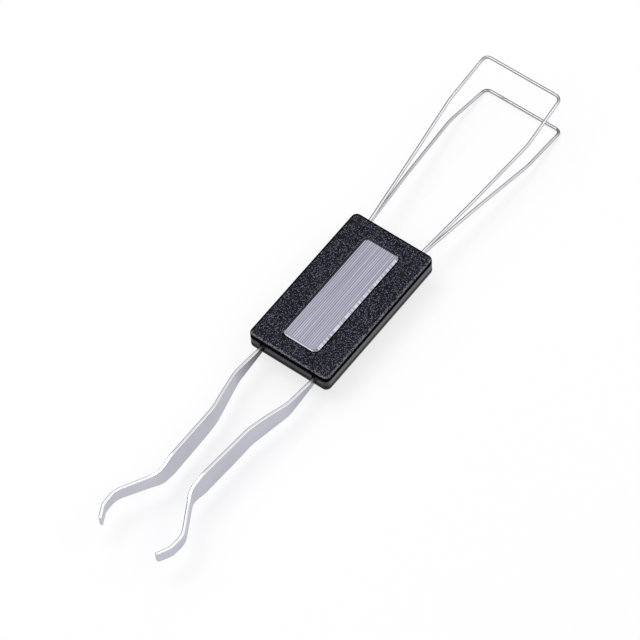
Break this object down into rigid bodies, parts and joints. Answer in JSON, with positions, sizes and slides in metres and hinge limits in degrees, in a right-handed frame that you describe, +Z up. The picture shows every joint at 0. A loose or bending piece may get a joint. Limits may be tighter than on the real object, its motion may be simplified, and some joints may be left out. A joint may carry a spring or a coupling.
{
  "type": "keycap puller",
  "caption": "Keyboard puller with a flat plastic handle, bent wire loops for lifting keycaps at one end and sprung steel tweezers for lifting switches at the other.",
  "frame": {"origin": "middle of the tool's length and width, at the lowest point of the lower wire loop", "axes": "+Y along the tool towards the wire loops, +Z up out of the nameplate"},
  "size_m": [0.0206, 0.1334, 0.0124],
  "materials": {
    "shell_top": "fine spark texture",
    "shell_bottom": "satin",
    "plate": "brushed",
    "wire": "bright drawn wire",
    "strip": "satin strip, bright edges"
  },
  "bodies": {
    "root": {"top_shell": "shell_top", "bottom_shell": "shell_bottom", "nameplate": "plate", "upper_wire_loop": "wire", "lower_wire_loop": "wire", "switch_tweezers": "strip"}
  },
  "joints": []
}
